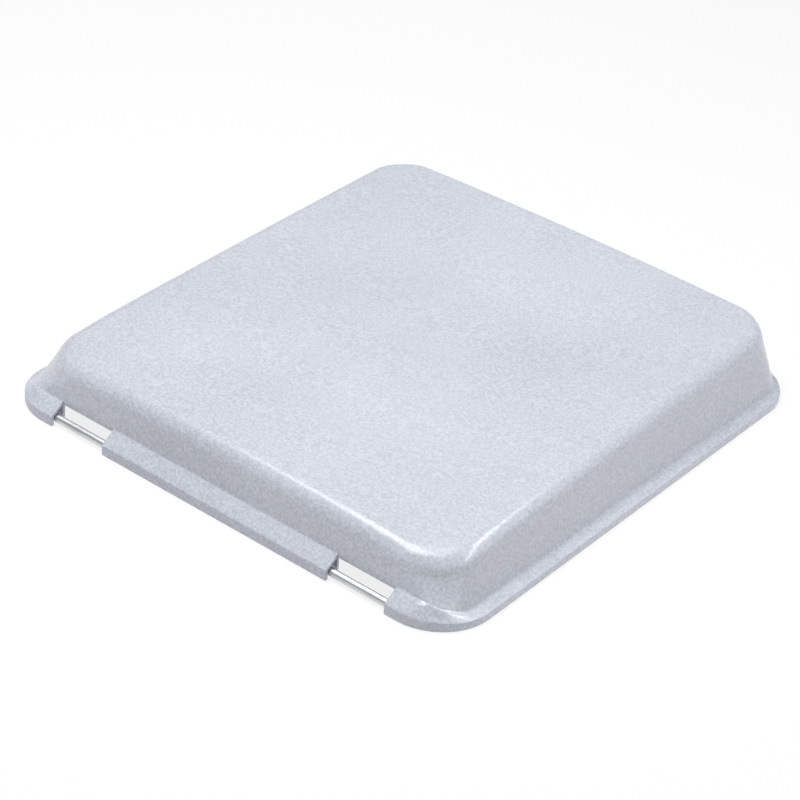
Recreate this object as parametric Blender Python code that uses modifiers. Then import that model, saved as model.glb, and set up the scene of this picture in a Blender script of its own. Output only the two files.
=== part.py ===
"""Roof vent cover: moulded lid, hinge rod, lift track and weather seal.

Frame: metres, +Z up, origin at the centre of the lid's footprint on the plane
that its lip stands on.  The hinge side is at -Y, and the rod lies along X.
"""
import math

import bmesh
import bpy
from mathutils import Matrix, Vector

MM = 0.001

# ---------------------------------------------------------------- dimensions
WIDTH = 406.0 * MM            # along the hinge
DEPTH = 426.0 * MM            # hinge lip to rear lip
WALL = 2.4 * MM               # moulded wall thickness
LIP_HINGE = 8.0 * MM          # lip height on the hinge side
LIP_SIDE = 5.8 * MM           # lip height on the other sides
LEDGE_HINGE = 11.3 * MM       # plan width of the sloping hood over the rod
LEDGE_SIDE = 8.8 * MM         # plan width of the ledge on the other sides
HOOD_SLOPE = 0.71             # rise per unit of width, hinge side
LEDGE_SLOPE = 0.20            # rise per unit of width, other sides
TOP_INSET_HINGE = 17.6 * MM   # lip face to the dome's upper edge
TOP_INSET_SIDE = 21.5 * MM
TOP_INSET_REAR = 10.2 * MM
TOP_Z_HINGE = 41.9 * MM       # dome edge height over the hinge wall
TOP_Z_REAR = 53.8 * MM        # dome edge height over the rear wall
BOW_ALONG = 1.3 * MM          # rise of the top at mid depth, over a straight line
BOW_ACROSS = 3.2 * MM         # rise of the top at mid width
CORNER_FALL = 6.0 * MM        # drop of the top at its two hinge corners
TAPER = 0.040                 # the side walls' draft narrows the top towards the rear, per metre
R_OUTLINE = 43.0 * MM         # plan corner radius of the lip
R_BASE = 26.0 * MM            # plan corner radius where the dome starts
R_TOP_HINGE = 36.0 * MM       # plan corner radius of the dome's upper edge, hinge side
R_TOP_REAR = 31.6 * MM        # and rear side
R_LIP = 1.2 * MM              # rounding along the lip's upper edge
R_CREASE = 1.6 * MM           # fillet between hood and hinge wall
R_CREASE_SIDE = 4.0 * MM      # fillet between ledge and the other walls
R_SHOULDER_HINGE = 11.8 * MM
R_SHOULDER_SIDE = 12.8 * MM
R_SHOULDER_REAR = 7.5 * MM
R_CORNER_HINGE = 4.0 * MM     # more shoulder rounding where two sides meet
R_CORNER_REAR = 2.0 * MM

CORNER_STEPS = 9              # segments in each plan corner
EDGE_STEPS = 5                # segments along each straight side

NOTCH_IN = 101.5 * MM         # notch limits, measured from the middle
NOTCH_OUT = 150.5 * MM

ROD_R = 3.0 * MM
ROD_INSET = 6.1 * MM          # lip face to rod axis
ROD_Z = 4.1 * MM
ROD_HALF = 164.0 * MM
BORE_R = 3.35 * MM
HOOK_X = (28.0 * MM, 92.0 * MM, 158.0 * MM)
HOOK_T = 3.0 * MM
HOOK_MOUTH = 5.6 * MM         # narrower than the rod, so it snaps in
SKIRT_T = 2.0 * MM            # wall that closes the hood's channel on the inside
SKIRT_Z = 2.0 * MM            # its lower edge
NOTCH_Z = 13.0 * MM           # its lower edge over the notches

GAP = 0.3 * MM                # air left between touching pieces

TRACK_Y = -4.0 * MM           # middle of the track
TRACK_LEN = 280.0 * MM
TRACK_W = 25.0 * MM           # outside width of the channel
TRACK_FLANGE = 47.0 * MM      # width of the flat top plate
TRACK_T = 1.6 * MM
TRACK_H = 11.0 * MM
TRACK_SLOT = 10.0 * MM
TRACK_DROP = 5.2 * MM         # dome underside to plate, at the middle
SCREW_X = 18.0 * MM
SCREW_V = (-118.0 * MM, 0.0, 118.0 * MM)
SCREW_R = 2.0 * MM
SCREW_HEAD_R = 3.9 * MM
BOSS_R = 5.0 * MM
RIB_T = 2.0 * MM
RIB_H = 4.0 * MM

SEAL_T = 2.6 * MM
SEAL_W = 5.0 * MM

# ---------------------------------------------------------------- start clean
for ob in list(bpy.data.objects):
    bpy.data.objects.remove(ob, do_unlink=True)

scene = bpy.context.scene
parts = bpy.data.collections.new("roof_vent_cover")
cutters = bpy.data.collections.new("cutters")
scene.collection.children.link(parts)
scene.collection.children.link(cutters)
lid_adds = bpy.data.collections.new("lid_adds")
lid_cuts = bpy.data.collections.new("lid_cuts")
cutters.children.link(lid_adds)
cutters.children.link(lid_cuts)


def material(name, color, rough, metal=0.0):
    m = bpy.data.materials.new(name)
    m.use_nodes = True
    b = m.node_tree.nodes["Principled BSDF"]
    b.inputs["Base Color"].default_value = (*color, 1.0)
    b.inputs["Roughness"].default_value = rough
    b.inputs["Metallic"].default_value = metal
    m.diffuse_color = (*color, 1.0)
    return m


def add_object(name, bm, mat=None, collection=parts, smooth=30.0, matrix=None):
    bmesh.ops.recalc_face_normals(bm, faces=bm.faces)
    me = bpy.data.meshes.new(name)
    bm.to_mesh(me)
    bm.free()
    ob = bpy.data.objects.new(name, me)
    collection.objects.link(ob)
    if matrix is not None:
        ob.matrix_world = matrix
    if mat is not None:
        me.materials.append(mat)
    if smooth:
        me.shade_smooth()
        me.set_sharp_from_angle(angle=math.radians(smooth))
    if collection is not parts:
        ob.hide_render = True
        ob.display_type = "WIRE"
    return ob


def box(bm, lo, hi):
    lo, hi = Vector(lo), Vector(hi)
    size = hi - lo
    m = Matrix.Translation((lo + hi) / 2) @ Matrix.Diagonal((*size, 1.0))
    bmesh.ops.create_cube(bm, size=1.0, matrix=m)


def cylinder(bm, centre, axis, radius, length, sides=24, radius2=None):
    rot = Vector((0, 0, 1)).rotation_difference(Vector(axis)).to_matrix().to_4x4()
    bmesh.ops.create_cone(bm, cap_ends=True, cap_tris=False, segments=sides,
                          radius1=radius,
                          radius2=radius if radius2 is None else radius2,
                          depth=length,
                          matrix=Matrix.Translation(Vector(centre)) @ rot)


def prism_x(bm, outline, x0, x1):
    """Extrude a (y, z) outline along X."""
    a = [bm.verts.new((x0, y, z)) for y, z in outline]
    face = bm.faces.new(a)
    out = bmesh.ops.extrude_face_region(bm, geom=[face])
    moved = [v for v in out["geom"] if isinstance(v, bmesh.types.BMVert)]
    bmesh.ops.translate(bm, verts=moved, vec=(x1 - x0, 0, 0))


def boolean(ob, other, operation):
    mod = ob.modifiers.new(other.name, "BOOLEAN")
    mod.operation = operation
    mod.solver = "EXACT"
    mod.object = other


def boolean_all(ob, group, operation):
    """One exact Boolean against every shape of a group."""
    mod = ob.modifiers.new(group.name, "BOOLEAN")
    mod.operation = operation
    mod.solver = "EXACT"
    mod.operand_type = "COLLECTION"
    mod.collection = group


def bevel(ob, width, segments=2, angle=35.0):
    mod = ob.modifiers.new("edges", "BEVEL")
    mod.width = width
    mod.segments = segments
    mod.limit_method = "ANGLE"
    mod.angle_limit = math.radians(angle)
    mod.use_clamp_overlap = True


# ---------------------------------------------------------------- lid surface
HX = WIDTH / 2
HY = DEPTH / 2
Y_TOP0 = -HY + TOP_INSET_HINGE
Y_TOP1 = HY - TOP_INSET_REAR
SLOPE = (TOP_Z_REAR - TOP_Z_HINGE) / (Y_TOP1 - Y_TOP0)


def top_z(x, y):
    """Height of the dome's top: a sloping plane with a slight bow both ways.

    The two corners over the hinge fall away.
    """
    u = x / (HX - TOP_INSET_SIDE)
    v = (y - (Y_TOP0 + Y_TOP1) / 2) / ((Y_TOP1 - Y_TOP0) / 2)
    fall = CORNER_FALL * min(1.0, abs(u)) ** 4 * min(1.0, max(0.0, -v)) ** 8
    return (TOP_Z_HINGE + SLOPE * (y - Y_TOP0) - fall
            + BOW_ACROSS * max(0.0, 1 - u * u) + BOW_ALONG * max(0.0, 1 - v * v))


def side_values(side):
    """lip height, ledge width and slope, upper edge inset, shoulder and crease radius."""
    return {
        "hinge": (LIP_HINGE, LEDGE_HINGE, HOOD_SLOPE, TOP_INSET_HINGE, R_SHOULDER_HINGE, R_CREASE),
        "side": (LIP_SIDE, LEDGE_SIDE, LEDGE_SLOPE, TOP_INSET_SIDE, R_SHOULDER_SIDE, R_CREASE_SIDE),
        "rear": (LIP_SIDE, LEDGE_SIDE, LEDGE_SLOPE, TOP_INSET_REAR, R_SHOULDER_REAR, R_CREASE_SIDE),
    }[side]


def profile(values, top_z, inner, r_top=0.0):
    """Wall profile of one side as (inset, height, corner radius) from the lip up.

    The inner profile is the outer one moved in by the wall thickness.
    """
    lip, ledge, slope, inset, shoulder, crease = values
    beta = math.atan(slope)
    p1 = Vector((0.0, lip))
    p2 = Vector((ledge, lip + slope * ledge))
    p3 = Vector((inset, top_z))
    alpha = math.atan2(p3.y - p2.y, p3.x - p2.x)
    d_ledge = Vector((math.cos(beta), math.sin(beta)))
    d_wall = Vector((math.cos(alpha), math.sin(alpha)))
    r_lip, r_crease, r_shoulder = R_LIP, crease, shoulder
    start = 0.0
    t = 0.0
    if inner:
        t = WALL
        start = t
        q1 = p1 + t * Vector((d_ledge.y, -d_ledge.x))
        q2 = p2 + t * Vector((d_wall.y, -d_wall.x))
        p1 = q1 + d_ledge * ((t - q1.x) / d_ledge.x)
        cross = d_ledge.x * d_wall.y - d_ledge.y * d_wall.x
        k = ((q2.x - q1.x) * d_wall.y - (q2.y - q1.y) * d_wall.x) / cross
        p2 = q1 + d_ledge * k
        p3 = q2 + d_wall * ((top_z - t - q2.y) / d_wall.y)
        r_lip, r_crease, r_shoulder = 0.35 * MM, crease + t, shoulder - t
    pts = [(start, 0.0, R_OUTLINE - t)]
    # lip edge
    turn = math.pi / 2 - beta
    length = r_lip * math.tan(turn / 2)
    base = p1 - Vector((0, length))
    for i in range(4):
        a = turn * i / 3
        p = base + r_lip * Vector((1 - math.cos(a), math.sin(a)))
        pts.append((p.x, p.y, R_OUTLINE - p.x))
    # crease
    turn = alpha - beta
    length = r_crease * math.tan(turn / 2)
    base = p2 - d_ledge * length
    for i in range(4):
        a = beta + turn * i / 3
        p = base + r_crease * Vector((math.sin(a) - math.sin(beta),
                                      math.cos(beta) - math.cos(a)))
        pts.append((p.x, p.y, R_BASE - t))
    # one section half way up the wall
    p = (p2 + p3) / 2
    pts.append((p.x, p.y, (R_BASE + r_top) / 2 - t))
    # shoulder
    ins = r_shoulder * math.tan(alpha / 2)
    for i in range(7):
        a = alpha * (1 - i / 6)
        dx = ins - r_shoulder * math.sin(a)
        dz = r_shoulder * (math.cos(a) - 1)
        pts.append((p3.x + dx, p3.y + dz, r_top - t - dx))
    return pts


def outline(x_half, y0, y1, r_hinge, r_rear):
    """Points of a rounded rectangle with the outward direction of each."""
    out = []
    corners = ((x_half - r_hinge, y0 + r_hinge, -90, r_hinge),
               (x_half - r_rear, y1 - r_rear, 0, r_rear),
               (-x_half + r_rear, y1 - r_rear, 90, r_rear),
               (-x_half + r_hinge, y0 + r_hinge, 180, r_hinge))
    for n, (cx, cy, a0, radius) in enumerate(corners):
        for i in range(CORNER_STEPS + 1):
            a = math.radians(a0 + 90 * i / CORNER_STEPS)
            out.append((cx + radius * math.cos(a), cy + radius * math.sin(a),
                        math.cos(a), math.sin(a)))
        nx, ny, _, nr = corners[(n + 1) % 4]
        a = math.radians(a0 + 90)
        p = Vector(out[-1][:2])
        q = Vector((nx + nr * math.cos(a), ny + nr * math.sin(a)))
        for i in range(1, EDGE_STEPS):
            m = p.lerp(q, i / EDGE_STEPS)
            out.append((m.x, m.y, math.cos(a), math.sin(a)))
    return out


def skin_rings(inner):
    """Sections of the lid's skin, each a closed ring of (x, y, z)."""
    drop = WALL if inner else 0.0
    mid = (TOP_Z_HINGE + TOP_Z_REAR) / 2
    count = len(profile(side_values("side"), mid, inner))
    flat = {"hinge": profile(side_values("hinge"), TOP_Z_HINGE, inner),
            "side": profile(side_values("side"), mid, inner, R_TOP_HINGE),
            "side_rear": profile(side_values("side"), mid, inner, R_TOP_REAR),
            "rear": profile(side_values("rear"), TOP_Z_REAR, inner)}
    rings = []
    for k in range(count):
        ins = {s: flat[s][k][0] for s in flat}
        ring = []
        for x, y, nx, ny in outline(HX - ins["side"], -HY + ins["hinge"],
                                    HY - ins["rear"], flat["side"][k][2],
                                    flat["side_rear"][k][2]):
            w_end = ny * ny
            end = "hinge" if ny < 0 else "rear"
            a, b = side_values(end), side_values("side")
            mixed = [w_end * p + (1 - w_end) * q for p, q in zip(a, b)]
            z_edge = top_z(x, y)
            step = profile(mixed, z_edge, inner)[k][0]
            extra = R_CORNER_HINGE if ny < 0 else R_CORNER_REAR
            mixed[4] += extra * 4 * w_end * (1 - w_end)
            inset, z_end, _ = profile(mixed, z_edge, inner)[k]
            x, y = x - nx * (inset - step), y - ny * (inset - step)
            draft = 0.0 if k < 9 else 0.5 if k == 9 else 1.0
            ring.append((x * (1 - TAPER * draft * y), y, z_end))
        rings.append(ring)
    # the top, in shrinking sections that follow the bow
    edge = rings[-1]
    cy = (Y_TOP0 + Y_TOP1) / 2
    for f in (0.9, 0.72, 0.5, 0.25):
        ring = []
        for x, y, _ in edge:
            px, py = x * f, cy + (y - cy) * f
            ring.append((px, py, top_z(px, py) - drop))
        rings.append(ring)
    centre = (0.0, cy, top_z(0.0, cy) - drop)
    return rings, centre


def underside(x, y):
    return top_z(x, y) - WALL


def build_skin():
    bm = bmesh.new()
    bottoms = []
    for inner in (False, True):
        rings, centre = skin_rings(inner)
        loops = [[bm.verts.new(p) for p in ring] for ring in rings]
        n = len(loops[0])
        for lower, upper in zip(loops, loops[1:]):
            for i in range(n):
                j = (i + 1) % n
                bm.faces.new((lower[i], lower[j], upper[j], upper[i]))
        tip = bm.verts.new(centre)
        for i in range(n):
            bm.faces.new((loops[-1][i], loops[-1][(i + 1) % n], tip))
        bottoms.append(loops[0])
    n = len(bottoms[0])
    for i in range(n):
        j = (i + 1) % n
        bm.faces.new((bottoms[0][i], bottoms[0][j], bottoms[1][j], bottoms[1][i]))
    return bm


WHITE = material("lid_polypropylene", (0.80, 0.81, 0.83), 0.42)
lid = add_object("lid_shell", build_skin(), WHITE, smooth=35.0)

# hooks under the hood that hold the rod
ROD_Y = -HY + ROD_INSET
hood_z = lambda y: LIP_HINGE + HOOD_SLOPE * (y + HY) - 1.4 * MM
hook_outline = [(-HY + 1.3 * MM, 0.8 * MM), (-HY + 1.3 * MM, hood_z(-HY + 1.3 * MM)),
                (-HY + LEDGE_HINGE, hood_z(-HY + LEDGE_HINGE)),
                (-HY + LEDGE_HINGE + 2.9 * MM, 22 * MM),
                (-HY + LEDGE_HINGE + 3.9 * MM, 22 * MM),
                (-HY + LEDGE_HINGE + 3.9 * MM, 0.8 * MM)]
bm = bmesh.new()
for x in HOOK_X:
    for s in (-1, 1):
        prism_x(bm, hook_outline, s * x - HOOK_T / 2, s * x + HOOK_T / 2)
add_object("rod_hooks", bm, collection=lid_adds, smooth=0)


# the wall behind the rod: with the hood and the lip it makes a channel
bm = bmesh.new()
box(bm, (-159 * MM, -HY + LEDGE_HINGE, SKIRT_Z),
    (159 * MM, -HY + LEDGE_HINGE + SKIRT_T, 15.2 * MM))
add_object("rod_channel_wall", bm, collection=lid_adds, smooth=0)


# stiffening ribs on the underside of the dome
def rib(bm, along_y, offset, a0, a1, steps):
    """A rib that follows the underside: its top is buried in the skin."""
    sections = []
    for i in range(steps + 1):
        s = a0 + (a1 - a0) * i / steps
        x, y = (offset, s) if along_y else (s, offset)
        z = underside(x, y)
        side = Vector((RIB_T / 2, 0)) if along_y else Vector((0, RIB_T / 2))
        sections.append([bm.verts.new((x + k * side.x, y + k * side.y, zz))
                         for k, zz in ((-1, z + 1.1 * MM), (1, z + 1.1 * MM),
                                       (1, z - RIB_H), (-1, z - RIB_H))])
    for p, q in zip(sections, sections[1:]):
        for i in range(4):
            j = (i + 1) % 4
            bm.faces.new((p[i], p[j], q[j], q[i]))
    bm.faces.new(sections[0])
    bm.faces.new(sections[-1])


bm = bmesh.new()
for x in (-92 * MM, 92 * MM):
    rib(bm, True, x, -172 * MM, 182 * MM, 8)
add_object("ribs_long", bm, collection=lid_adds, smooth=0)
ALPHA = math.atan(SLOPE)
bm = bmesh.new()
for v in SCREW_V:
    rib(bm, False, TRACK_Y + v * math.cos(ALPHA), -152 * MM, 152 * MM, 8)
add_object("ribs_cross", bm, collection=lid_adds, smooth=0)

# everything on the track stands in a frame tilted with the top
track_z = underside(0.0, TRACK_Y) - TRACK_DROP
TILT = Matrix.Translation((0, TRACK_Y, track_z)) @ Matrix.Rotation(ALPHA, 4, "X")

bm = bmesh.new()
for v in SCREW_V:
    for s in (-1, 1):
        cylinder(bm, (s * SCREW_X, v, 3.4 * MM), (0, 0, 1), BOSS_R, 6.2 * MM, 20)
add_object("screw_bosses", bm, collection=lid_adds, smooth=0, matrix=TILT)
bm = bmesh.new()
for v in SCREW_V:
    for s in (-1, 1):
        cylinder(bm, (s * SCREW_X, v, 2.2 * MM), (0, 0, 1), SCREW_R + 0.35 * MM, 6.0 * MM, 16)
add_object("screw_holes", bm, collection=lid_cuts, smooth=0, matrix=TILT)

# the two notches, open to the front and below, as deep as the dome's wall
bm = bmesh.new()
for s in (-1, 1):
    x0, x1 = sorted((s * NOTCH_IN, s * NOTCH_OUT))
    box(bm, (x0, -HY - 3 * MM, -3 * MM), (x1, -HY + LEDGE_HINGE + 0.2 * MM, 30 * MM))
notch = add_object("hinge_notches", bm, collection=lid_cuts, smooth=0)
# the cutter stops below the wall's own face
notch_top = LIP_HINGE + HOOD_SLOPE * LEDGE_HINGE + 0.9 * MM
for v in notch.data.vertices:
    if v.co.z > 0.01:
        v.co.z = notch_top
bm = bmesh.new()
for s in (-1, 1):
    x0, x1 = sorted((s * NOTCH_IN, s * NOTCH_OUT))
    box(bm, (x0, -HY - 4 * MM, -4 * MM), (x1, -HY + LEDGE_HINGE + SKIRT_T + 1.4 * MM, NOTCH_Z))
add_object("channel_notches", bm, collection=lid_cuts, smooth=0)

# rod seats
bm = bmesh.new()
cylinder(bm, (0, ROD_Y, ROD_Z), (1, 0, 0), BORE_R, 2 * ROD_HALF + 1.2 * MM, 24)
add_object("rod_bores", bm, collection=lid_cuts, smooth=0)
bm = bmesh.new()
box(bm, (-ROD_HALF, ROD_Y - HOOK_MOUTH / 2, -2 * MM), (ROD_HALF, ROD_Y + HOOK_MOUTH / 2, ROD_Z))
add_object("rod_mouths", bm, collection=lid_cuts, smooth=0)
boolean_all(lid, lid_adds, "UNION")
boolean_all(lid, lid_cuts, "DIFFERENCE")

# ---------------------------------------------------------------- hinge rod
STEEL = material("zinc_plated_steel", (0.62, 0.63, 0.64), 0.32, 1.0)
bm = bmesh.new()
cylinder(bm, (0, 0, 0), (1, 0, 0), ROD_R, 2 * ROD_HALF, 24)
rod = add_object("hinge_rod", bm, STEEL, matrix=Matrix.Translation((0, ROD_Y, ROD_Z)))
bevel(rod, 0.6 * MM, 2)

# ---------------------------------------------------------------- lift track
ALU = material("track_aluminium", (0.66, 0.67, 0.68), 0.38, 1.0)
half_w, half_f, half_s = TRACK_W / 2, TRACK_FLANGE / 2, TRACK_SLOT / 2
section = [(-half_f, 0), (half_f, 0), (half_f, -TRACK_T), (half_w, -TRACK_T),
           (half_w, -TRACK_H), (half_s, -TRACK_H), (half_s, -TRACK_H + TRACK_T),
           (half_w - TRACK_T, -TRACK_H + TRACK_T), (half_w - TRACK_T, -TRACK_T),
           (-half_w + TRACK_T, -TRACK_T), (-half_w + TRACK_T, -TRACK_H + TRACK_T),
           (-half_s, -TRACK_H + TRACK_T), (-half_s, -TRACK_H), (-half_w, -TRACK_H),
           (-half_w, -TRACK_T), (-half_f, -TRACK_T)]
bm = bmesh.new()
face = bm.faces.new([bm.verts.new((x, -TRACK_LEN / 2, z)) for x, z in section])
out = bmesh.ops.extrude_face_region(bm, geom=[face])
bmesh.ops.translate(bm, verts=[v for v in out["geom"] if isinstance(v, bmesh.types.BMVert)],
                    vec=(0, TRACK_LEN, 0))
track = add_object("lift_track", bm, ALU, smooth=0, matrix=TILT)
bm = bmesh.new()
for v in SCREW_V:
    for s in (-1, 1):
        cylinder(bm, (s * SCREW_X, v, 0), (0, 0, 1), SCREW_R + 0.35 * MM, 8 * MM, 16)
boolean(track, add_object("track_holes", bm, collection=cutters, smooth=0, matrix=TILT), "DIFFERENCE")

# pan-head screws, driven from below into the bosses
SCREW = material("screw_steel", (0.55, 0.55, 0.55), 0.35, 1.0)
SCREW_SIDES = 16
z_head = -TRACK_T - GAP
screw_profile = [(0.0, z_head - 2.5 * MM), (1.9 * MM, z_head - 2.4 * MM),
                 (3.2 * MM, z_head - 1.7 * MM), (SCREW_HEAD_R, z_head - 0.5 * MM),
                 (SCREW_HEAD_R, z_head), (SCREW_R, z_head),
                 (SCREW_R, 3.6 * MM), (0.9 * MM, 4.8 * MM), (0.0, 4.8 * MM)]


def turned(bm, points, sides):
    """A turned solid about Z from a profile that starts and ends on the axis."""
    loops = []
    for r, z in points:
        if r == 0.0:
            loops.append([bm.verts.new((0, 0, z))])
        else:
            loops.append([bm.verts.new((r * math.cos(2 * math.pi * i / sides),
                                        r * math.sin(2 * math.pi * i / sides), z))
                          for i in range(sides)])
    for a, b in zip(loops, loops[1:]):
        for i in range(sides):
            j = (i + 1) % sides
            if len(a) == 1:
                bm.faces.new((a[0], b[j], b[i]))
            elif len(b) == 1:
                bm.faces.new((a[i], a[j], b[0]))
            else:
                bm.faces.new((a[i], a[j], b[j], b[i]))


number = 0
for v in SCREW_V:
    for s in (-1, 1):
        number += 1
        at = TILT @ Matrix.Translation((s * SCREW_X, v, 0))
        bm = bmesh.new()
        turned(bm, screw_profile, SCREW_SIDES)
        screw = add_object("track_screw_%d" % number, bm, SCREW, matrix=at)
        # cross recess in the head
        for tag, hx, hy in (("a", 2.0 * MM, 0.45 * MM), ("b", 0.45 * MM, 2.0 * MM)):
            bm = bmesh.new()
            box(bm, (-hx, -hy, z_head - 3.2 * MM), (hx, hy, z_head - 1.3 * MM))
            boolean(screw, add_object("recess_%d%s" % (number, tag), bm, collection=cutters,
                                      smooth=0, matrix=at), "DIFFERENCE")

# end stops: moulded plugs in the channel's two ends
NYLON = material("black_nylon", (0.03, 0.03, 0.032), 0.5)
inner_w = TRACK_W / 2 - TRACK_T - GAP
inner_top = -TRACK_T - GAP
inner_bot = -TRACK_H + TRACK_T + GAP
STOP_L = 12.0 * MM


def stop(name, sign):
    bm = bmesh.new()
    y0, y1 = sorted((sign * TRACK_LEN / 2, sign * (TRACK_LEN / 2 - STOP_L)))
    box(bm, (-inner_w, y0, inner_bot), (inner_w, y1, inner_top))
    ob = add_object(name, bm, NYLON, matrix=TILT)
    bm = bmesh.new()
    e0, e1 = sorted((sign * (TRACK_LEN / 2 - 1 * MM), sign * (TRACK_LEN / 2 + 2.2 * MM)))
    box(bm, (-half_w, e0, -TRACK_H), (half_w, e1, -TRACK_T - GAP))
    keep = add_object(name + "_cap", bm, collection=cutters, smooth=0, matrix=TILT)
    boolean(ob, keep, "UNION")
    bm = bmesh.new()
    c0, c1 = sorted((sign * (TRACK_LEN / 2 - 2 * MM), sign * (TRACK_LEN / 2 + GAP)))
    for s in (-1, 1):
        x0, x1 = sorted((s * inner_w, s * (half_w + 1 * MM)))
        box(bm, (x0, c0, -TRACK_H - 1 * MM), (x1, c1, 0))
    boolean(ob, add_object(name + "_relief", bm, collection=cutters, smooth=0, matrix=TILT), "DIFFERENCE")
    bm = bmesh.new()
    box(bm, (-half_w - 1 * MM, c0, -TRACK_H - 1 * MM), (half_w + 1 * MM, c1, inner_bot))
    boolean(ob, add_object(name + "_relief_low", bm, collection=cutters, smooth=0, matrix=TILT), "DIFFERENCE")
    return ob


stop("track_stop_front", -1)
stop("track_stop_rear", 1)

# slider block with its lug below the channel, and the pin for the lift arm
SLIDER_L = 34.0 * MM
SLIDER_GAP = 0.4 * MM
ACETAL = material("white_acetal", (0.78, 0.78, 0.75), 0.35)
bm = bmesh.new()
w = TRACK_W / 2 - TRACK_T - SLIDER_GAP
box(bm, (-w, -SLIDER_L / 2, -TRACK_H + TRACK_T + SLIDER_GAP), (w, SLIDER_L / 2, -TRACK_T - SLIDER_GAP))
slider = add_object("lift_slider", bm, ACETAL, matrix=TILT)
lug = [(-11 * MM, -TRACK_H + TRACK_T + 2 * MM), (11 * MM, -TRACK_H + TRACK_T + 2 * MM),
       (11 * MM, -TRACK_H - 3 * MM)]
for i in range(9):
    a = math.radians(0 - 180 * i / 8)
    lug.append((8.0 * MM * math.cos(a), -TRACK_H - 9 * MM + 8.0 * MM * math.sin(a)))
lug.append((-11 * MM, -TRACK_H - 3 * MM))
bm = bmesh.new()
prism_x(bm, lug, -4 * MM, 4 * MM)
boolean(slider, add_object("slider_lug", bm, collection=cutters, smooth=0, matrix=TILT), "UNION")
bm = bmesh.new()
cylinder(bm, (0, 0, -TRACK_H - 9 * MM), (1, 0, 0), 3.3 * MM, 20 * MM, 20)
boolean(slider, add_object("lug_bore", bm, collection=cutters, smooth=0, matrix=TILT), "DIFFERENCE")

bm = bmesh.new()
pin_z = -TRACK_H - 9 * MM
cylinder(bm, (-1.4 * MM, 0, 0), (1, 0, 0), 3.0 * MM, 25.2 * MM, 20)
pin = add_object("arm_pin", bm, STEEL, matrix=TILT @ Matrix.Translation((0, 0, pin_z)))
bm = bmesh.new()
cylinder(bm, (12.0 * MM, 0, pin_z), (1, 0, 0), 5.0 * MM, 2.4 * MM, 20)
boolean(pin, add_object("pin_head", bm, collection=cutters, smooth=0, matrix=TILT), "UNION")
# groove for the clip
bm = bmesh.new()
cylinder(bm, (-11.2 * MM, 0, pin_z), (1, 0, 0), 4.5 * MM, 1.4 * MM, 20)
groove = add_object("clip_groove", bm, collection=cutters, smooth=0, matrix=TILT)
bm = bmesh.new()
cylinder(bm, (-11.2 * MM, 0, pin_z), (1, 0, 0), 2.2 * MM, 3.0 * MM, 20)
core = add_object("clip_groove_core", bm, collection=cutters, smooth=0, matrix=TILT)
boolean(groove, core, "DIFFERENCE")
boolean(pin, groove, "DIFFERENCE")

# retaining clip in the groove: a C ring
bm = bmesh.new()
cylinder(bm, (-11.2 * MM, 0, pin_z), (1, 0, 0), 5.0 * MM, 0.8 * MM, 24)
clip = add_object("arm_pin_clip", bm, SCREW, matrix=TILT)
bm = bmesh.new()
cylinder(bm, (-11.2 * MM, 0, pin_z), (1, 0, 0), 2.5 * MM, 3 * MM, 20)
boolean(clip, add_object("clip_eye", bm, collection=cutters, smooth=0, matrix=TILT), "DIFFERENCE")
bm = bmesh.new()
box(bm, (-13 * MM, -1.6 * MM, pin_z - 8 * MM), (-9 * MM, 1.6 * MM, pin_z))
boolean(clip, add_object("clip_mouth", bm, collection=cutters, smooth=0, matrix=TILT), "DIFFERENCE")

# ---------------------------------------------------------------- weather seal
FOAM = material("closed_cell_foam", (0.045, 0.045, 0.048), 0.9)
ledge_under = LIP_SIDE + LEDGE_SLOPE * WALL - WALL / math.cos(math.atan(LEDGE_SLOPE))
seal_hi = ledge_under - GAP
seal_lo = seal_hi - SEAL_T
seal_in = WALL + GAP
side_y0, side_y1 = -HY + 46 * MM, HY - 44 * MM


def seal(name, lo, hi):
    bm = bmesh.new()
    box(bm, lo, hi)
    ob = add_object(name, bm, FOAM)
    bevel(ob, 0.5 * MM, 1)
    return ob


seal("seal_left", (-HX + seal_in, side_y0, seal_lo), (-HX + seal_in + SEAL_W, side_y1, seal_hi))
seal("seal_right", (HX - seal_in - SEAL_W, side_y0, seal_lo), (HX - seal_in, side_y1, seal_hi))
seal("seal_rear", (-HX + 44 * MM, HY - seal_in - SEAL_W, seal_lo),
     (HX - 44 * MM, HY - seal_in, seal_hi))
# the hinge side's strip lies against the inside of the dome's wall
wall_angle = math.atan2(TOP_Z_HINGE - LIP_HINGE - HOOD_SLOPE * LEDGE_HINGE,
                        TOP_INSET_HINGE - LEDGE_HINGE)
z_mid = 26 * MM
y_face = (-HY + LEDGE_HINGE + (z_mid - LIP_HINGE - HOOD_SLOPE * LEDGE_HINGE) / math.tan(wall_angle)
          + (WALL + GAP) / math.sin(wall_angle))
bm = bmesh.new()
box(bm, (-150 * MM, 0, -4 * MM), (150 * MM, 3.2 * MM, 4 * MM))
front = add_object("seal_front", bm, FOAM,
                   matrix=Matrix.Translation((0, y_face, z_mid))
                   @ Matrix.Rotation(-(math.pi / 2 - wall_angle), 4, "X"))
bevel(front, 0.5 * MM, 1)
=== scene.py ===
"""Looks of the roof vent cover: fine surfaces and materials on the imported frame."""

import math

import bmesh
import bpy
from mathutils import Matrix, Vector


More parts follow.
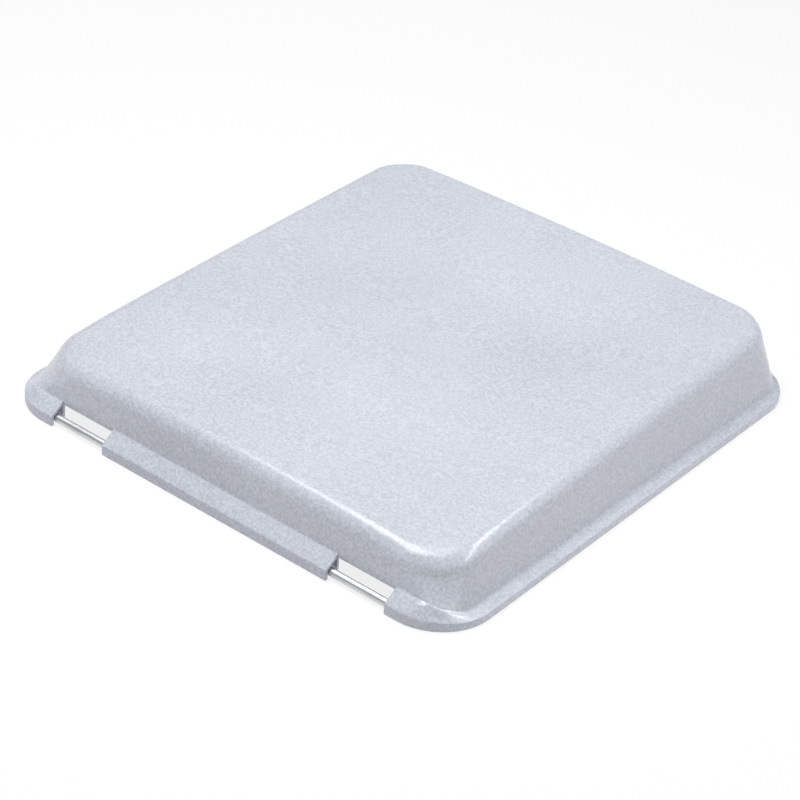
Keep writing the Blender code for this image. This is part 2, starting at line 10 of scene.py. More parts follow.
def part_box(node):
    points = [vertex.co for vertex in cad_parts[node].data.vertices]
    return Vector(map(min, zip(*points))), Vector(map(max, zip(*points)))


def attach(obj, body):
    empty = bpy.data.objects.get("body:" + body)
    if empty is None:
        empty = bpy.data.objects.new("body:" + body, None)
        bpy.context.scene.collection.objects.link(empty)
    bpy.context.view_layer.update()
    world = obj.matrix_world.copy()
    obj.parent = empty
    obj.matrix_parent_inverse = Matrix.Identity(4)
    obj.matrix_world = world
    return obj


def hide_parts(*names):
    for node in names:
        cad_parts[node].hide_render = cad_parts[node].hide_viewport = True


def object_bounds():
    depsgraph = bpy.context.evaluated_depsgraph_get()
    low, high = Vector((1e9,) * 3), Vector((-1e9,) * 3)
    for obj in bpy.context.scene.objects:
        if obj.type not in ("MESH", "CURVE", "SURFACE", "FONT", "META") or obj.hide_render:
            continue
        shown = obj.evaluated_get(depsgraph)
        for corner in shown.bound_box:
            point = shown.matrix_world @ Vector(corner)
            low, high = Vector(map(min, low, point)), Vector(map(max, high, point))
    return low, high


MM = 0.001

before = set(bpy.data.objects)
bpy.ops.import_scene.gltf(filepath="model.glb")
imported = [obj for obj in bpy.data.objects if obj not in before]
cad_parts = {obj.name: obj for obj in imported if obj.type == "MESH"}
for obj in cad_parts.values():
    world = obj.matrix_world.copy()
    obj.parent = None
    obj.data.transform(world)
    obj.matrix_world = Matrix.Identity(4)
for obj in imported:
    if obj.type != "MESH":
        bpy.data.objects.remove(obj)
cad_lo, cad_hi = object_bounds()
scene = bpy.context.scene

# ------------------------------------------------------------------ camera
AZ, EL, ROLL = math.radians(36.457), math.radians(33.187), math.radians(4.896)
DIST = 1.81103
SHIFT_R, SHIFT_U = -0.0070, -0.0050
FOCAL_PX = 2493.25
back = Vector((math.sin(AZ) * math.cos(EL), -math.cos(AZ) * math.cos(EL), math.sin(EL)))
right = Vector((math.cos(AZ), math.sin(AZ), 0.0))
up = back.cross(right)
cam_r = math.cos(ROLL) * right + math.sin(ROLL) * up
cam_u = -math.sin(ROLL) * right + math.cos(ROLL) * up
cam_data = bpy.data.cameras.new("camera")
cam_data.sensor_width = 36.0
cam_data.lens = FOCAL_PX * 36.0 / 800.0
cam_data.clip_start = 0.05
cam_data.clip_end = 60.0
camera = bpy.data.objects.new("camera", cam_data)
scene.collection.objects.link(camera)
pose = Matrix.Identity(4)
place = back * DIST + cam_r * SHIFT_R + cam_u * SHIFT_U
for i in range(3):
    pose[i][0], pose[i][1], pose[i][2], pose[i][3] = cam_r[i], cam_u[i], back[i], place[i]
camera.matrix_world = pose
scene.camera = camera

scene.view_settings.view_transform = "Standard"
scene.view_settings.look = "None"
scene.view_settings.exposure = 0.0
scene.view_settings.gamma = 1.0


# ------------------------------------------------------------------ node helpers
def new_material(name):
    m = bpy.data.materials.new(name)
    m.use_nodes = True
    nt = m.node_tree
    return m, nt, nt.nodes["Principled BSDF"]


def coords(nt, scale=(1, 1, 1)):
    tc = nt.nodes.new("ShaderNodeTexCoord")
    mp = nt.nodes.new("ShaderNodeMapping")
    mp.inputs["Scale"].default_value = scale
    nt.links.new(tc.outputs["Object"], mp.inputs["Vector"])
    return mp.outputs["Vector"]


def noise(nt, vec, scale, detail=2.0, rough=0.5):
    n = nt.nodes.new("ShaderNodeTexNoise")
    n.inputs["Scale"].default_value = scale
    n.inputs["Detail"].default_value = detail
    n.inputs["Roughness"].default_value = rough
    nt.links.new(vec, n.inputs["Vector"])
    return n.outputs["Fac"]


def remap(nt, value, a0, a1, b0, b1):
    n = nt.nodes.new("ShaderNodeMapRange")
    n.inputs["From Min"].default_value = a0
    n.inputs["From Max"].default_value = a1
    n.inputs["To Min"].default_value = b0
    n.inputs["To Max"].default_value = b1
    nt.links.new(value, n.inputs["Value"])
    return n.outputs["Result"]


def mix_colour(nt, fac, a, b):
    n = nt.nodes.new("ShaderNodeMix")
    n.data_type = "RGBA"
    if isinstance(fac, float):
        n.inputs[0].default_value = fac
    else:
        nt.links.new(fac, n.inputs[0])
    for sock, v in ((n.inputs[6], a), (n.inputs[7], b)):
        if isinstance(v, tuple):
            sock.default_value = (*v, 1.0)
        else:
            nt.links.new(v, sock)
    return n.outputs[2]


def bump(nt, height, strength, distance, normal=None):
    n = nt.nodes.new("ShaderNodeBump")
    n.inputs["Strength"].default_value = strength
    n.inputs["Distance"].default_value = distance
    nt.links.new(height, n.inputs["Height"])
    if normal is not None:
        nt.links.new(normal, n.inputs["Normal"])
    return n.outputs["Normal"]


def moulded(name, light, dark, rough, grain=900.0, grain_depth=0.00006, spec=0.5):
    """Injection-moulded plastic: faint colour drift, fine stipple, slow waviness."""
    m, nt, p = new_material(name)
    v = coords(nt)
    drift = remap(nt, noise(nt, v, 7.0, 3.0), 0.35, 0.65, 0.0, 1.0)
    speck = remap(nt, noise(nt, v, 520.0, 3.0, 0.65), 0.38, 0.62, 0.0, 1.0)
    mid = tuple(a * 0.75 + b * 0.25 for a, b in zip(light, dark))
    base = mix_colour(nt, drift, mid, light)
    darker = mix_colour(nt, drift, dark, tuple(a * 0.25 + b * 0.75 for a, b in zip(light, dark)))
    nt.links.new(mix_colour(nt, speck, darker, base), p.inputs["Base Color"])
    nt.links.new(remap(nt, noise(nt, v, 60.0, 3.0), 0.3, 0.7, rough - 0.04, rough + 0.05),
                 p.inputs["Roughness"])
    p.inputs["Specular IOR Level"].default_value = spec
    slow = bump(nt, noise(nt, v, 34.0, 1.0), 0.10, 0.0006)
    fine = bump(nt, noise(nt, v, grain, 2.0, 0.55), 0.35, grain_depth, slow)
    nt.links.new(fine, p.inputs["Normal"])
    return m


def metal(name, colour, rough, along, streak=0.25, scale=260.0):
    """Drawn or extruded metal: streaks along one axis, with faint blotches."""
    m, nt, p = new_material(name)
    stretch = [1.0, 1.0, 1.0]
    stretch["XYZ".index(along)] = 0.02
    v = coords(nt, tuple(stretch))
    w = coords(nt)
    line = noise(nt, v, scale * 6, 3.0, 0.6)
    blot = noise(nt, w, 45.0, 3.0)
    lo = tuple(c * 0.82 for c in colour)
    nt.links.new(mix_colour(nt, remap(nt, blot, 0.3, 0.7, 0.0, 1.0), lo, colour),
                 p.inputs["Base Color"])
    p.inputs["Metallic"].default_value = 1.0
    nt.links.new(remap(nt, line, 0.25, 0.75, rough - 0.07, rough + 0.10), p.inputs["Roughness"])
    nt.links.new(bump(nt, line, streak, 0.00005), p.inputs["Normal"])
    return m


LID = moulded("lid_polypropylene", (0.600, 0.627, 0.700), (0.420, 0.442, 0.502), 0.26)
ROD = metal("rod_zinc", (0.74, 0.75, 0.77), 0.46, "X", 0.12)
ALU = metal("track_aluminium_mill", (0.74, 0.75, 0.76), 0.36, "Y", 0.5)
SCREW = metal("screw_plated", (0.62, 0.61, 0.58), 0.28, "Z", 0.2)
NYLON = moulded("nylon_black", (0.035, 0.035, 0.037), (0.022, 0.022, 0.024), 0.48, 1200.0)
ACETAL = moulded("acetal_natural", (0.80, 0.79, 0.75), (0.74, 0.73, 0.69), 0.33, 1500.0, 0.00003)

FOAM, nt, p = new_material("foam_tape")
v = coords(nt)
cells = nt.nodes.new("ShaderNodeTexVoronoi")
cells.inputs["Scale"].default_value = 1300.0
nt.links.new(v, cells.inputs["Vector"])
tone = remap(nt, cells.outputs["Distance"], 0.0, 0.7, 0.0, 1.0)
patch = remap(nt, noise(nt, v, 90.0, 3.0), 0.3, 0.7, 0.0, 1.0)
c = mix_colour(nt, patch, (0.030, 0.030, 0.033), (0.058, 0.058, 0.062))
nt.links.new(mix_colour(nt, tone, (0.012, 0.012, 0.013), c), p.inputs["Base Color"])
nt.links.new(remap(nt, patch, 0.0, 1.0, 0.82, 0.95), p.inputs["Roughness"])
nt.links.new(bump(nt, tone, 0.9, 0.0003), p.inputs["Normal"])


# ------------------------------------------------------------------ mesh helpers
def finish_piece(name, bm, mat, body, nodes=(), smooth=38.0, matrix=None):
    bmesh.ops.recalc_face_normals(bm, faces=bm.faces)
    me = bpy.data.meshes.new(name)
    bm.to_mesh(me)
    bm.free()
    ob = bpy.data.objects.new(name, me)
    scene.collection.objects.link(ob)
    if matrix is not None:
        ob.matrix_world = matrix
    me.materials.append(mat)
    me.shade_smooth()
    me.set_sharp_from_angle(angle=math.radians(smooth))
    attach(ob, body)
    if nodes:
        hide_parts(*nodes)
    return ob


def round_edges(ob, width, segments=2, angle=45.0, clamp=True):
    mod = ob.modifiers.new("edges", "BEVEL")
    mod.width = width
    mod.segments = segments
    mod.limit_method = "ANGLE"
    mod.angle_limit = math.radians(angle)
    mod.use_clamp_overlap = clamp
    mod.harden_normals = False
    return mod


def turned(bm, points, sides, at=Vector((0, 0, 0)), frame_m=None):
    """A turned solid about Z; the profile starts and ends on the axis."""
    loops = []
    for r, z in points:
        if r == 0.0:
            loops.append([bm.verts.new(at + Vector((0, 0, z)))])
        else:
            loops.append([bm.verts.new(at + Vector((r * math.cos(2 * math.pi * i / sides),
                                                    r * math.sin(2 * math.pi * i / sides), z)))
                          for i in range(sides)])
    for a, b in zip(loops, loops[1:]):
        for i in range(sides):
            j = (i + 1) % sides
            if len(a) == 1:
                bm.faces.new((a[0], b[j], b[i]))
            elif len(b) == 1:
                bm.faces.new((a[i], a[j], b[0]))
            else:
                bm.faces.new((a[i], a[j], b[j], b[i]))
    if frame_m is not None:
        for loop in loops:
            for vert in loop:
                vert.co = frame_m @ vert.co


def extrude_outline(bm, pts, vec):
    """Prism from a closed outline (a list of 3-D points) along vec."""
    face = bm.faces.new([bm.verts.new(q) for q in pts])
    out = bmesh.ops.extrude_face_region(bm, geom=[face])
    bmesh.ops.translate(bm, vec=vec,
                        verts=[g for g in out["geom"] if isinstance(g, bmesh.types.BMVert)])


# ------------------------------------------------------------------ lid surface
WIDTH, DEPTH = 406.0 * MM, 426.0 * MM
WALL = 2.4 * MM
LIP_HINGE, LIP_SIDE = 8.0 * MM, 5.8 * MM
LEDGE_HINGE, LEDGE_SIDE = 11.3 * MM, 8.8 * MM
HOOD_SLOPE, LEDGE_SLOPE = 0.71, 0.20
TOP_INSET_HINGE, TOP_INSET_SIDE, TOP_INSET_REAR = 17.6 * MM, 21.5 * MM, 10.2 * MM
TOP_Z_HINGE, TOP_Z_REAR = 41.9 * MM, 53.8 * MM
BOW_ALONG, BOW_ACROSS = 1.3 * MM, 3.2 * MM
CORNER_FALL = 6.0 * MM
TAPER = 0.040
R_OUTLINE, R_BASE = 43.0 * MM, 26.0 * MM
R_TOP_HINGE, R_TOP_REAR = 36.0 * MM, 31.6 * MM
R_LIP, R_CREASE, R_CREASE_SIDE = 1.2 * MM, 1.6 * MM, 4.0 * MM
R_SHOULDER_HINGE, R_SHOULDER_SIDE, R_SHOULDER_REAR = 11.8 * MM, 12.8 * MM, 7.5 * MM
R_CORNER_HINGE, R_CORNER_REAR = 4.0 * MM, 2.0 * MM
NOTCH_IN, NOTCH_OUT = 101.5 * MM, 150.5 * MM

HX, HY = WIDTH / 2, DEPTH / 2
Y_TOP0, Y_TOP1 = -HY + TOP_INSET_HINGE, HY - TOP_INSET_REAR
SLOPE = (TOP_Z_REAR - TOP_Z_HINGE) / (Y_TOP1 - Y_TOP0)
Y_MID = (Y_TOP0 + Y_TOP1) / 2

N_LIP, N_LEDGE, N_CREASE, N_WALL, N_SHOULDER = 5, 3, 6, 5, 14
N_CORNER, N_SIDE = 22, 18
K_CREASE0 = 1 + (N_LIP + 1) + N_LEDGE            # first section of the crease fillet
K_CREASE1 = K_CREASE0 + N_CREASE                 # last section of the crease fillet
K_WALL1 = K_CREASE1 + N_WALL


def top_z(x, y):
    u = x / (HX - TOP_INSET_SIDE)
    w = (y - Y_MID) / ((Y_TOP1 - Y_TOP0) / 2)
    fall = CORNER_FALL * min(1.0, abs(u)) ** 4 * min(1.0, max(0.0, -w)) ** 8
    return (TOP_Z_HINGE + SLOPE * (y - Y_TOP0) - fall
            + BOW_ACROSS * max(0.0, 1 - u * u) + BOW_ALONG * max(0.0, 1 - w * w))


SIDES = {
    "hinge": (LIP_HINGE, LEDGE_HINGE, HOOD_SLOPE, TOP_INSET_HINGE, R_SHOULDER_HINGE, R_CREASE),
    "side": (LIP_SIDE, LEDGE_SIDE, LEDGE_SLOPE, TOP_INSET_SIDE, R_SHOULDER_SIDE, R_CREASE_SIDE),
    "rear": (LIP_SIDE, LEDGE_SIDE, LEDGE_SLOPE, TOP_INSET_REAR, R_SHOULDER_REAR, R_CREASE_SIDE),
}


def profile(values, z_top, inner, r_top=0.0):
    """Wall section as (inset, height, plan radius), from the lip's foot to the top."""
    lip, ledge, slope, inset, shoulder, crease = values
    beta = math.atan(slope)
    p1, p2, p3 = Vector((0.0, lip)), Vector((ledge, lip + slope * ledge)), Vector((inset, z_top))
    alpha = math.atan2(p3.y - p2.y, p3.x - p2.x)
    dl = Vector((math.cos(beta), math.sin(beta)))
    dw = Vector((math.cos(alpha), math.sin(alpha)))
    r_lip, r_crease, r_shoulder, t = R_LIP, crease, shoulder, 0.0
    if inner:
        t = WALL
        q1 = p1 + t * Vector((dl.y, -dl.x))
        q2 = p2 + t * Vector((dw.y, -dw.x))
        p1 = q1 + dl * ((t - q1.x) / dl.x)
        cross = dl.x * dw.y - dl.y * dw.x
        k = ((q2.x - q1.x) * dw.y - (q2.y - q1.y) * dw.x) / cross
        p2 = q1 + dl * k
        p3 = q2 + dw * ((z_top - t - q2.y) / dw.y)
        r_lip, r_crease, r_shoulder = 0.35 * MM, crease + t, shoulder - t
    pts = [(t, 0.0, R_OUTLINE - t)]
    turn = math.pi / 2 - beta
    base = p1 - Vector((0, r_lip * math.tan(turn / 2)))
    for i in range(N_LIP + 1):
        a = turn * i / N_LIP
        q = base + r_lip * Vector((1 - math.cos(a), math.sin(a)))
        pts.append((q.x, q.y, R_OUTLINE - q.x))
    start = Vector(pts[-1][:2])
    turn = alpha - beta
    base = p2 - dl * (r_crease * math.tan(turn / 2))
    r_start = pts[-1][2]
    for i in range(1, N_LEDGE + 1):
        f = i / (N_LEDGE + 1)
        q = start.lerp(base, f)
        pts.append((q.x, q.y, r_start * (1 - f) + (R_BASE - t) * f))
    for i in range(N_CREASE + 1):
        a = beta + turn * i / N_CREASE
        q = base + r_crease * Vector((math.sin(a) - math.sin(beta), math.cos(beta) - math.cos(a)))
        pts.append((q.x, q.y, R_BASE - t))
    ins = r_shoulder * math.tan(alpha / 2)
    wall0 = Vector(pts[-1][:2])
    wall1 = p3 + Vector((ins - r_shoulder * math.sin(alpha), r_shoulder * (math.cos(alpha) - 1)))
    r1 = r_top - t - (ins - r_shoulder * math.sin(alpha))
    for i in range(1, N_WALL + 1):
        f = i / (N_WALL + 1)
        q = wall0.lerp(wall1, f)
        pts.append((q.x, q.y, (R_BASE - t) * (1 - f) + r1 * f))
    for i in range(N_SHOULDER + 1):
        a = alpha * (1 - i / N_SHOULDER)
        dx = ins - r_shoulder * math.sin(a)
        pts.append((p3.x + dx, p3.y + r_shoulder * (math.cos(a) - 1), r_top - t - dx))
    return pts


HINGE_X = [-155.5, -150.5, -140, -126, -112, -101.5, -88, -70, -52, -35, -17.5, 0,
           17.5, 35, 52, 70, 88, 101.5, 112, 126, 140, 150.5, 155.5]
HINGE_X = [x * MM for x in HINGE_X]


def outline(x_half, y0, y1, r_hinge, r_rear):
    out = []
    corners = ((x_half - r_hinge, y0 + r_hinge, -90, r_hinge),
               (x_half - r_rear, y1 - r_rear, 0, r_rear),
               (-x_half + r_rear, y1 - r_rear, 90, r_rear),
               (-x_half + r_hinge, y0 + r_hinge, 180, r_hinge))
    for n, (cx, cy, a0, radius) in enumerate(corners):
        for i in range(N_CORNER + 1):
            a = math.radians(a0 + 90 * i / N_CORNER)
            out.append((cx + radius * math.cos(a), cy + radius * math.sin(a),
                        math.cos(a), math.sin(a)))
        if n < 3:
            nx, ny, _, nr = corners[n + 1]
            a = math.radians(a0 + 90)
            q0 = Vector(out[-1][:2])
            q1 = Vector((nx + nr * math.cos(a), ny + nr * math.sin(a)))
            for i in range(1, N_SIDE):
                q = q0.lerp(q1, i / N_SIDE)
                out.append((q.x, q.y, math.cos(a), math.sin(a)))
        else:
            limit = x_half - r_hinge
            k = min(1.0, (limit - 1.5 * MM) / HINGE_X[-1])
            for x in HINGE_X:
                out.append((x * k, y0, 0.0, -1.0))
    return out


FIRST_HINGE = 4 * (N_CORNER + 1) + 3 * (N_SIDE - 1)


def skin_rings(inner):
    drop = WALL if inner else 0.0
    mid = (TOP_Z_HINGE + TOP_Z_REAR) / 2
    flat = {"hinge": profile(SIDES["hinge"], TOP_Z_HINGE, inner),
            "side": profile(SIDES["side"], mid, inner, R_TOP_HINGE),
            "side_rear": profile(SIDES["side"], mid, inner, R_TOP_REAR),
            "rear": profile(SIDES["rear"], TOP_Z_REAR, inner)}
    rings = []
    for k in range(len(flat["side"])):
        ring = []
        draft = 0.0 if k <= K_CREASE1 else min(1.0, (k - K_CREASE1) / (N_WALL + 1))
        for x, y, nx, ny in outline(HX - flat["side"][k][0], -HY + flat["hinge"][k][0],
                                    HY - flat["rear"][k][0], flat["side"][k][2],
                                    flat["side_rear"][k][2]):
            w = ny * ny
            a, b = SIDES["hinge" if ny < 0 else "rear"], SIDES["side"]
            mixed = [w * p_ + (1 - w) * q_ for p_, q_ in zip(a, b)]
            extra = (R_CORNER_HINGE if ny < 0 else R_CORNER_REAR) * 4 * w * (1 - w)
            z_edge = top_z(x, y)
            step = profile(mixed, z_edge, inner)[k][0]
            mixed[4] += extra
            inset, z, _ = profile(mixed, z_edge, inner)[k]
            x, y = x - nx * (inset - step), y - ny * (inset - step)
            ring.append((x * (1 - TAPER * draft * y), y, z))
        rings.append(ring)
    edge = rings[-1]
    for f in (0.985, 0.955, 0.915, 0.86, 0.79, 0.70, 0.60, 0.49, 0.37, 0.24, 0.11):
        ring = []
        for x, y, _ in edge:
            px, py = x * f, Y_MID + (y - Y_MID) * f
            ring.append((px, py, top_z(px, py) - drop))
        rings.append(ring)
    return rings, (0.0, Y_MID, top_z(0.0, Y_MID) - drop)


def underside(x, y):
    return top_z(x, y) - WALL


def notch_column(i):
    """True where the strip from outline point i to i + 1 lies in a notch."""
    k = i - FIRST_HINGE
    if k < 0 or k >= len(HINGE_X) - 1:
        return False
    m = abs((HINGE_X[k] + HINGE_X[k + 1]) / 2)
    return NOTCH_IN < m < NOTCH_OUT


bm = bmesh.new()
K_IN = K_CREASE1                  # the notch ends here on the inner skin
K_OUT = K_CREASE1                 # and here on the outer one
skins = []
for inner in (False, True):
    rings, centre = skin_rings(inner)
    loops = [[bm.verts.new(q) for q in ring] for ring in rings]
    n = len(loops[0])
    stop_k = K_IN if inner else K_OUT
    for k, (lower, upper) in enumerate(zip(loops, loops[1:])):
        for i in range(n):
            if k < stop_k and notch_column(i):
                continue
            j = (i + 1) % n
            bm.faces.new((lower[i], lower[j], upper[j], upper[i]))
    tip = bm.verts.new(centre)
    for i in range(n):
        bm.faces.new((loops[-1][i], loops[-1][(i + 1) % n], tip))
    skins.append(loops)
outer, inside = skins
NOTCH_Z = 13.0 * MM
brow = {}
for i in range(n):
    if notch_column(i) or notch_column(i - 1):
        co = outer[K_OUT][i].co
        brow[i] = bm.verts.new((co.x, co.y, NOTCH_Z))
for i in range(n):
    j = (i + 1) % n
    if notch_column(i):
        bm.faces.new((outer[K_OUT][i], outer[K_OUT][j], brow[j], brow[i]))
        bm.faces.new((brow[i], brow[j], inside[K_IN][j], inside[K_IN][i]))
        if not notch_column(i - 1):
            bm.faces.new([outer[k][i] for k in range(K_OUT + 1)] + [brow[i]]
                         + [inside[k][i] for k in range(K_IN, -1, -1)])
        if not notch_column(j):
            bm.faces.new([outer[k][j] for k in range(K_OUT + 1)] + [brow[j]]
                         + [inside[k][j] for k in range(K_IN, -1, -1)])
    else:
        bm.faces.new((outer[0][i], outer[0][j], inside[0][j], inside[0][i]))
loose = [q for q in bm.verts if not q.link_faces]
bmesh.ops.delete(bm, geom=loose, context="VERTS")
lid = finish_piece("lid_skin", bm, LID, "lid", ("lid_shell",), smooth=40.0)
round_edges(lid, 0.28 * MM, 2, 55.0, clamp=False)

# ------------------------------------------------------------------ moulded detail underneath
ROD_R = 3.0 * MM
rod_lo, rod_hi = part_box("hinge_rod")
ROD_Y, ROD_Z = (rod_lo.y + rod_hi.y) / 2, (rod_lo.z + rod_hi.z) / 2
HOOK_T = 3.0 * MM


def hood_z(y):
    return LIP_HINGE + HOOD_SLOPE * (y + HY) - 1.4 * MM


# the wall behind the rod, in three lengths between and beside the notches
bm = bmesh.new()
for x0, x1 in ((-159.0, -150.5), (-101.5, 101.5), (150.5, 159.0)):
    y0, y1 = -HY + LEDGE_HINGE + 0.02 * MM, -HY + LEDGE_HINGE + 2.0 * MM
    extrude_outline(bm, [Vector((x0 * MM, y, z)) for y, z in (
        (y0, 2.0 * MM), (y1, 2.0 * MM), (y1, 15.0 * MM), (y0, 15.0 * MM))],
        Vector(((x1 - x0) * MM, 0, 0)))
walls = finish_piece("lid_channel_wall", bm, LID, "lid", ())
round_edges(walls, 0.25 * MM, 2, 40.0)

# hooks: an outline with the rod's open-bottomed seat
seat_r, mouth = 3.35 * MM, 2.8 * MM
a0 = math.asin(mouth / seat_r)
seat = [(ROD_Y + mouth, 0.8 * MM)]
for i in range(25):
    a = -math.pi / 2 + a0 + (2 * math.pi - 2 * a0) * i / 24
    seat.append((ROD_Y + seat_r * math.cos(a), ROD_Z + seat_r * math.sin(a)))
seat.append((ROD_Y - mouth, 0.8 * MM))
hook = seat + [(-HY + 1.3 * MM, 0.8 * MM), (-HY + 1.3 * MM, hood_z(-HY + 1.3 * MM)),
               (-HY + LEDGE_HINGE, hood_z(-HY + LEDGE_HINGE)),
               (-HY + LEDGE_HINGE + 2.9 * MM, 22 * MM), (-HY + LEDGE_HINGE + 3.9 * MM, 22 * MM),
               (-HY + LEDGE_HINGE + 3.9 * MM, 0.8 * MM)]
bm = bmesh.new()
for x in (28.0, 92.0, 158.0):
    for s in (-1, 1):
        x0 = s * x * MM - HOOK_T / 2
        extrude_outline(bm, [Vector((x0, y, z)) for y, z in hook], Vector((HOOK_T, 0, 0)))
hooks = finish_piece("lid_hooks", bm, LID, "lid", ())
round_edges(hooks, 0.3 * MM, 2, 40.0)

track_lo, track_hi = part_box("lift_track")
ALPHA = math.atan(SLOPE)
TRACK_Y = -4.0 * MM
TRACK_DROP = 5.2 * MM
TILT = (Matrix.Translation((0, TRACK_Y, underside(0.0, TRACK_Y) - TRACK_DROP))
        @ Matrix.Rotation(ALPHA, 4, "X"))
SCREW_V = (-118.0 * MM, 0.0, 118.0 * MM)
SCREW_X = 18.0 * MM


def rib(bm, along_y, offset, a0, a1, steps):
    sections = []
    for i in range(steps + 1):
        s = a0 + (a1 - a0) * i / steps
        x, y = (offset, s) if along_y else (s, offset)
        z = underside(x, y)
        end = min(1.0, 0.25 + 3.0 * min(i, steps - i) / steps)
        d = Vector((1.0, 0)) if along_y else Vector((0, 1.0))
        low = z - 4.0 * MM * end
        sections.append([bm.verts.new((x + k * d.x, y + k * d.y, zz)) for k, zz in (
            (-1.15 * MM, z + 1.1 * MM), (1.15 * MM, z + 1.1 * MM), (0.95 * MM, z - 0.6 * MM),
            (0.75 * MM, low + 0.3 * MM), (0.45 * MM, low), (-0.45 * MM, low),
            (-0.75 * MM, low + 0.3 * MM), (-0.95 * MM, z - 0.6 * MM))])
    for a, b in zip(sections, sections[1:]):
        for i in range(8):
            j = (i + 1) % 8
            bm.faces.new((a[i], a[j], b[j], b[i]))
    bm.faces.new(sections[0])
    bm.faces.new(sections[-1])


bm = bmesh.new()
for x in (-92 * MM, 92 * MM):
    rib(bm, True, x, -172 * MM, 182 * MM, 40)
finish_piece("lid_ribs_long", bm, LID, "lid", ())
bm = bmesh.new()
for w in SCREW_V:
    rib(bm, False, TRACK_Y + w * math.cos(ALPHA), -152 * MM, 152 * MM, 40)
finish_piece("lid_ribs_cross", bm, LID, "lid", ())

bm = bmesh.new()
for w in SCREW_V:
    for s in (-1, 1):
        turned(bm, [(0.0, 6.6 * MM), (5.6 * MM, 6.6 * MM), (5.25 * MM, 4.6 * MM), (5.0 * MM, 3.4 * MM),
                    (4.9 * MM, 0.6 * MM), (4.6 * MM, 0.3 * MM), (2.7 * MM, 0.3 * MM),
                    (2.35 * MM, 0.6 * MM), (2.35 * MM, 5.4 * MM), (0.0, 5.4 * MM)],
               36, Vector((s * SCREW_X, w, 0)))
finish_piece("lid_bosses", bm, LID, "lid", (), matrix=TILT)

# faint witness rings of the mould's ejector pins
bm = bmesh.new()
for x in (-140, -50, 50, 140):
    for y in (-150, -62, 62, 155):
        z = underside(x * MM, y * MM)
        turned(bm, [(0.0, 0.4 * MM), (4.0 * MM, 0.4 * MM), (4.0 * MM, -0.10 * MM), (3.8 * MM, -0.16 * MM),
                    (3.2 * MM, -0.16 * MM), (3.0 * MM, -0.06 * MM), (0.0, -0.06 * MM)],
               32, Vector((x * MM, y * MM, z)))
finish_piece("lid_ejector_marks", bm, LID, "lid", ())

# ------------------------------------------------------------------ hinge rod
half = (rod_hi.x - rod_lo.x) / 2
bm = bmesh.new()
X_AXIS = Matrix.Rotation(math.pi / 2, 4, "Y")
turned(bm, [(0.0, -half), (2.2 * MM, -half), (2.75 * MM, -half + 0.25 * MM), (ROD_R, -half + 0.8 * MM),
            (ROD_R, -half + 8 * MM), (ROD_R, -half / 2), (ROD_R, 0.0), (ROD_R, half / 2),
            (ROD_R, half - 8 * MM), (ROD_R, half - 0.8 * MM), (2.75 * MM, half - 0.25 * MM),
            (2.2 * MM, half), (0.0, half)], 64, frame_m=Matrix.Translation((0, ROD_Y, ROD_Z)) @ X_AXIS)
finish_piece("rod_bar", bm, ROD, "rod", ("hinge_rod",))

# ------------------------------------------------------------------ carried-over parts
for node, name, mat, body, look, width in (
        ("lift_track", "track_profile", ALU, "lid", "aluminium", 0.25),
        ("track_stop_front", "stop_front", NYLON, "lid", "black_nylon", 0.35),
        ("track_stop_rear", "stop_rear", NYLON, "lid", "black_nylon", 0.35),
        ("lift_slider", "slider_block", ACETAL, "slider", "acetal", 0.45)):
    bm = bmesh.new()
    bm.from_mesh(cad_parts[node].data)
    piece = finish_piece(name, bm, mat, body, (node,),
                         matrix=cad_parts[node].matrix_world.copy())
    round_edges(piece, width * MM, 2, 40.0)
for node, mat in (("arm_pin", ROD), ("arm_pin_clip", SCREW)):
    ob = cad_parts[node]
    ob.data.materials.clear()
    ob.data.materials.append(mat)

# ------------------------------------------------------------------ screws
Z_HEAD = -1.9 * MM
number = 0
for w in SCREW_V:
    for s in (-1, 1):
        number += 1
        bm = bmesh.new()
        turned(bm, [(0.0, Z_HEAD - 2.5 * MM), (1.2 * MM, Z_HEAD - 2.46 * MM), (2.1 * MM, Z_HEAD - 2.3 * MM),
                    (2.9 * MM, Z_HEAD - 1.95 * MM), (3.5 * MM, Z_HEAD - 1.45 * MM),
                    (3.85 * MM, Z_HEAD - 0.8 * MM), (3.9 * MM, Z_HEAD - 0.3 * MM), (3.8 * MM, Z_HEAD),
                    (2.0 * MM, Z_HEAD), (2.0 * MM, 3.6 * MM), (0.9 * MM, 4.8 * MM), (0.0, 4.8 * MM)], 40)
        at = TILT @ Matrix.Translation((s * SCREW_X, w, 0)) @ Matrix.Rotation(0.5 + 0.9 * number, 4, "Z")
        screw = finish_piece("screw_%d" % number, bm, SCREW, "lid", ("track_screw_%d" % number,),
                             matrix=at)
        bm = bmesh.new()
        for q in (0.0, math.pi / 2):
            m = (at @ Matrix.Rotation(q, 4, "Z") @ Matrix.Translation((0, 0, Z_HEAD - 2.2 * MM))
                 @ Matrix.Diagonal((3.9 * MM, 0.85 * MM, 1.9 * MM, 1.0)))
            bmesh.ops.create_cube(bm, size=1.0, matrix=m)
        me = bpy.data.meshes.new("recess")
        bm.to_mesh(me)
        bm.free()
        cutter = bpy.data.objects.new("recess", me)
        scene.collection.objects.link(cutter)
        mod = screw.modifiers.new("recess", "BOOLEAN")
        mod.operation = "DIFFERENCE"
        mod.solver = "EXACT"
        mod.use_self = True
        mod.object = cutter
        bpy.context.view_layer.update()
        dg = bpy.context.evaluated_depsgraph_get()
        cut = bpy.data.meshes.new_from_object(screw.evaluated_get(dg))
        screw.modifiers.clear()
        screw.data = cut
        cut.shade_smooth()
        cut.set_sharp_from_angle(angle=math.radians(35))
        bpy.data.objects.remove(cutter, do_unlink=True)

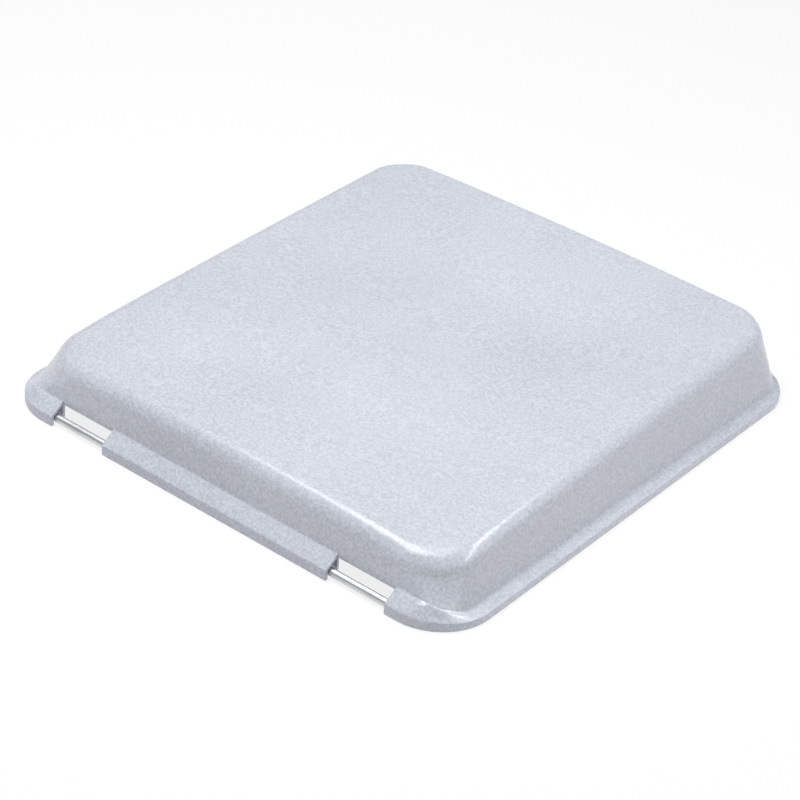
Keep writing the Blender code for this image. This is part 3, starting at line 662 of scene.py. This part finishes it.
# ------------------------------------------------------------------ foam strips
for side in ("left", "right", "rear", "front"):
    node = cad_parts["seal_" + side]
    bm = bmesh.new()
    bm.from_mesh(node.data)
    strip = finish_piece("foam_" + side, bm, FOAM, "lid", ("seal_" + side,),
                         smooth=60.0, matrix=node.matrix_world.copy())
    round_edges(strip, 1.1 * MM, 3, 40.0)

# ------------------------------------------------------------------ floor and light
FLOOR, nt, p = new_material("floor_pale")
p.inputs["Base Color"].default_value = (0.16, 0.16, 0.16, 1.0)
p.inputs["Roughness"].default_value = 0.9
p.inputs["Specular IOR Level"].default_value = 0.1
p.inputs["Emission Color"].default_value = (1.0, 1.0, 1.0, 1.0)
p.inputs["Emission Strength"].default_value = 0.80
me = bpy.data.meshes.new("floor")
bm = bmesh.new()
bmesh.ops.create_grid(bm, x_segments=1, y_segments=1, size=14.0)
bm.to_mesh(me)
bm.free()
floor = bpy.data.objects.new("floor", me)
floor.location = (0, 0, cad_lo.z - 0.0002)
scene.collection.objects.link(floor)
me.materials.append(FLOOR)

world = bpy.data.worlds.new("studio")
scene.world = world
world.use_nodes = True
bg = world.node_tree.nodes["Background"]
bg.inputs["Color"].default_value = (1.0, 1.0, 1.0, 1.0)
bg.inputs["Strength"].default_value = 0.30


def area(name, at, target, size, power, size_y=None):
    d = bpy.data.lights.new(name, "AREA")
    d.shape = "RECTANGLE"
    d.size = size
    d.size_y = size_y or size
    d.energy = power
    ob = bpy.data.objects.new(name, d)
    scene.collection.objects.link(ob)
    ob.location = at
    ob.rotation_euler = (Vector(target) - Vector(at)).to_track_quat("-Z", "Y").to_euler()
    return ob


def strip_light(name, end_a, end_b, target, width, power):
    """A narrow softbox between two points, facing the target."""
    a, b, t = Vector(end_a), Vector(end_b), Vector(target)
    mid = (a + b) / 2
    away = (mid - t).normalized()
    along = (b - a) - (b - a).dot(away) * away
    length = (b - a).length
    along.normalize()
    side = away.cross(along)
    d = bpy.data.lights.new(name, "AREA")
    d.shape = "RECTANGLE"
    d.size, d.size_y, d.energy = length, width, power
    ob = bpy.data.objects.new(name, d)
    scene.collection.objects.link(ob)
    ob.matrix_world = Matrix(((along.x, side.x, away.x, mid.x), (along.y, side.y, away.y, mid.y),
                              (along.z, side.z, away.z, mid.z), (0, 0, 0, 1)))
    return ob


area("overhead", (-0.20, -0.20, 1.33), (0.0, 0.0, 0.0), 0.95, 19.5, 0.7)
fill = area("right_fill", (1.00, 0.62, 0.55), (0.10, 0.0, 0.03), 0.6, 4.2)
fill.visible_glossy = False
strip = strip_light("right_strip", (0.360, 0.440, 0.840), (0.900, -0.240, 0.430),
                    (0.180, -0.166, 0.038), 0.05, 5.0)
strip.visible_diffuse = False
